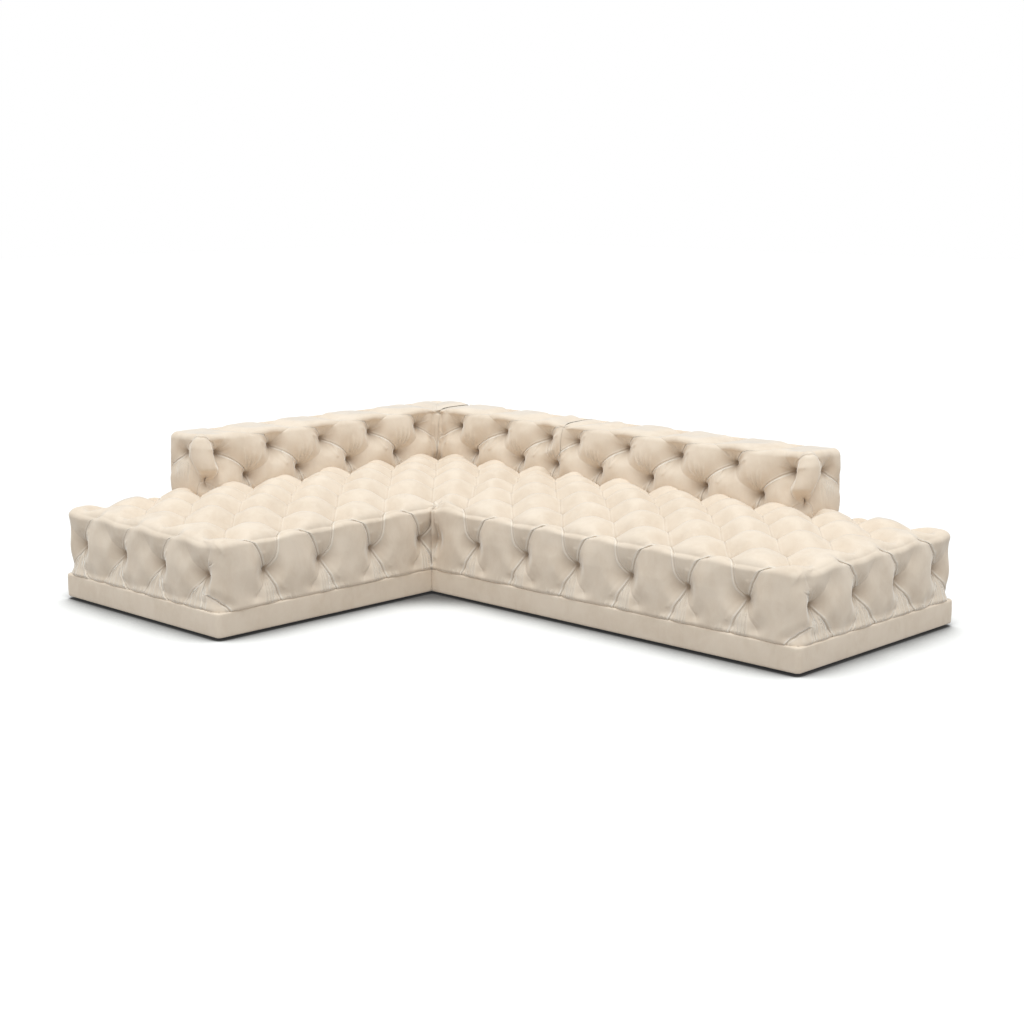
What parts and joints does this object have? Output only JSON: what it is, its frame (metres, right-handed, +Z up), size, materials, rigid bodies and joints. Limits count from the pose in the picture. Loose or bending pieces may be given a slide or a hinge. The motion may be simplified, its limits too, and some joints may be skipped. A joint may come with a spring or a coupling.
{
  "type": "l-shaped sofa",
  "caption": "Low L-shaped lounge sofa with diamond-tufted cream velvet seats, a low tufted back along two sides, open seat ends and a padded velvet plinth.",
  "frame": {"origin": "on the floor, under the middle of the sofa's rectangular footprint", "axes": "+X to the right along the long rear side, +Y from the front to the rear, +Z up; the chaise runs forward on the left"},
  "size_m": [3, 2.22, 0.665],
  "materials": {
    "velvet_tufted": "short cream velvet pile with a soft sheen, drawn into deep diamond tufts",
    "velvet_plain": "the same cream velvet, stretched flat",
    "foam": "open-cell upholstery foam",
    "timber": "planed softwood",
    "plywood": "birch plywood",
    "twine": "waxed tufting twine",
    "zinc_steel": "zinc-plated steel",
    "dust_cloth": "black non-woven cloth",
    "glide_plastic": "black moulded plastic"
  },
  "bodies": {
    "root": {"chaise_glides": "glide_plastic", "chaise_dust_cloth": "dust_cloth", "chaise_plinth_boards": "timber", "chaise_glide_blocks": "timber", "chaise_base_rails": "timber", "chaise_seat_boards": "timber", "chaise_seat_bearers": "timber", "chaise_seat_deck": "plywood", "chaise_seat_foam": "foam", "chaise_tie_washers": "zinc_steel", "chaise_tuft_ties": "twine", "chaise_seat_cover": "velvet_tufted", "chaise_joint_packer": "plywood", "chaise_band_inner": "velvet_plain", "chaise_band_end": "velvet_plain", "chaise_band_outer": "velvet_plain", "chaise_band_rear": "velvet_plain", "bench_glides": "glide_plastic", "bench_dust_cloth": "dust_cloth", "bench_plinth_boards": "timber", "bench_glide_blocks": "timber", "bench_base_rails": "timber", "bench_seat_boards": "timber", "bench_seat_bearers": "timber", "bench_seat_deck": "plywood", "bench_seat_foam": "foam", "bench_tie_washers": "zinc_steel", "bench_tuft_ties": "twine", "bench_seat_cover": "velvet_tufted", "bench_joint_packer": "plywood", "bench_band_front": "velvet_plain", "bench_band_end": "velvet_plain", "bench_band_rear": "velvet_plain", "chaise_back_rails": "timber", "chaise_back_posts": "timber", "chaise_back_panel": "plywood", "chaise_back_foam": "foam", "chaise_back_cover": "velvet_tufted", "chaise_back_outer_panel": "velvet_plain", "corner_back_rails": "timber", "corner_back_posts": "timber", "corner_back_panel": "plywood", "corner_back_foam": "foam", "corner_back_cover": "velvet_tufted", "corner_back_outer_panel": "velvet_plain", "bench_back_rails": "timber", "bench_back_posts": "timber", "bench_back_panel": "plywood", "bench_back_foam": "foam", "bench_back_cover": "velvet_tufted", "bench_back_outer_panel": "velvet_plain", "back_brackets": "zinc_steel", "joint_bolts": "zinc_steel"}
  },
  "joints": []
}
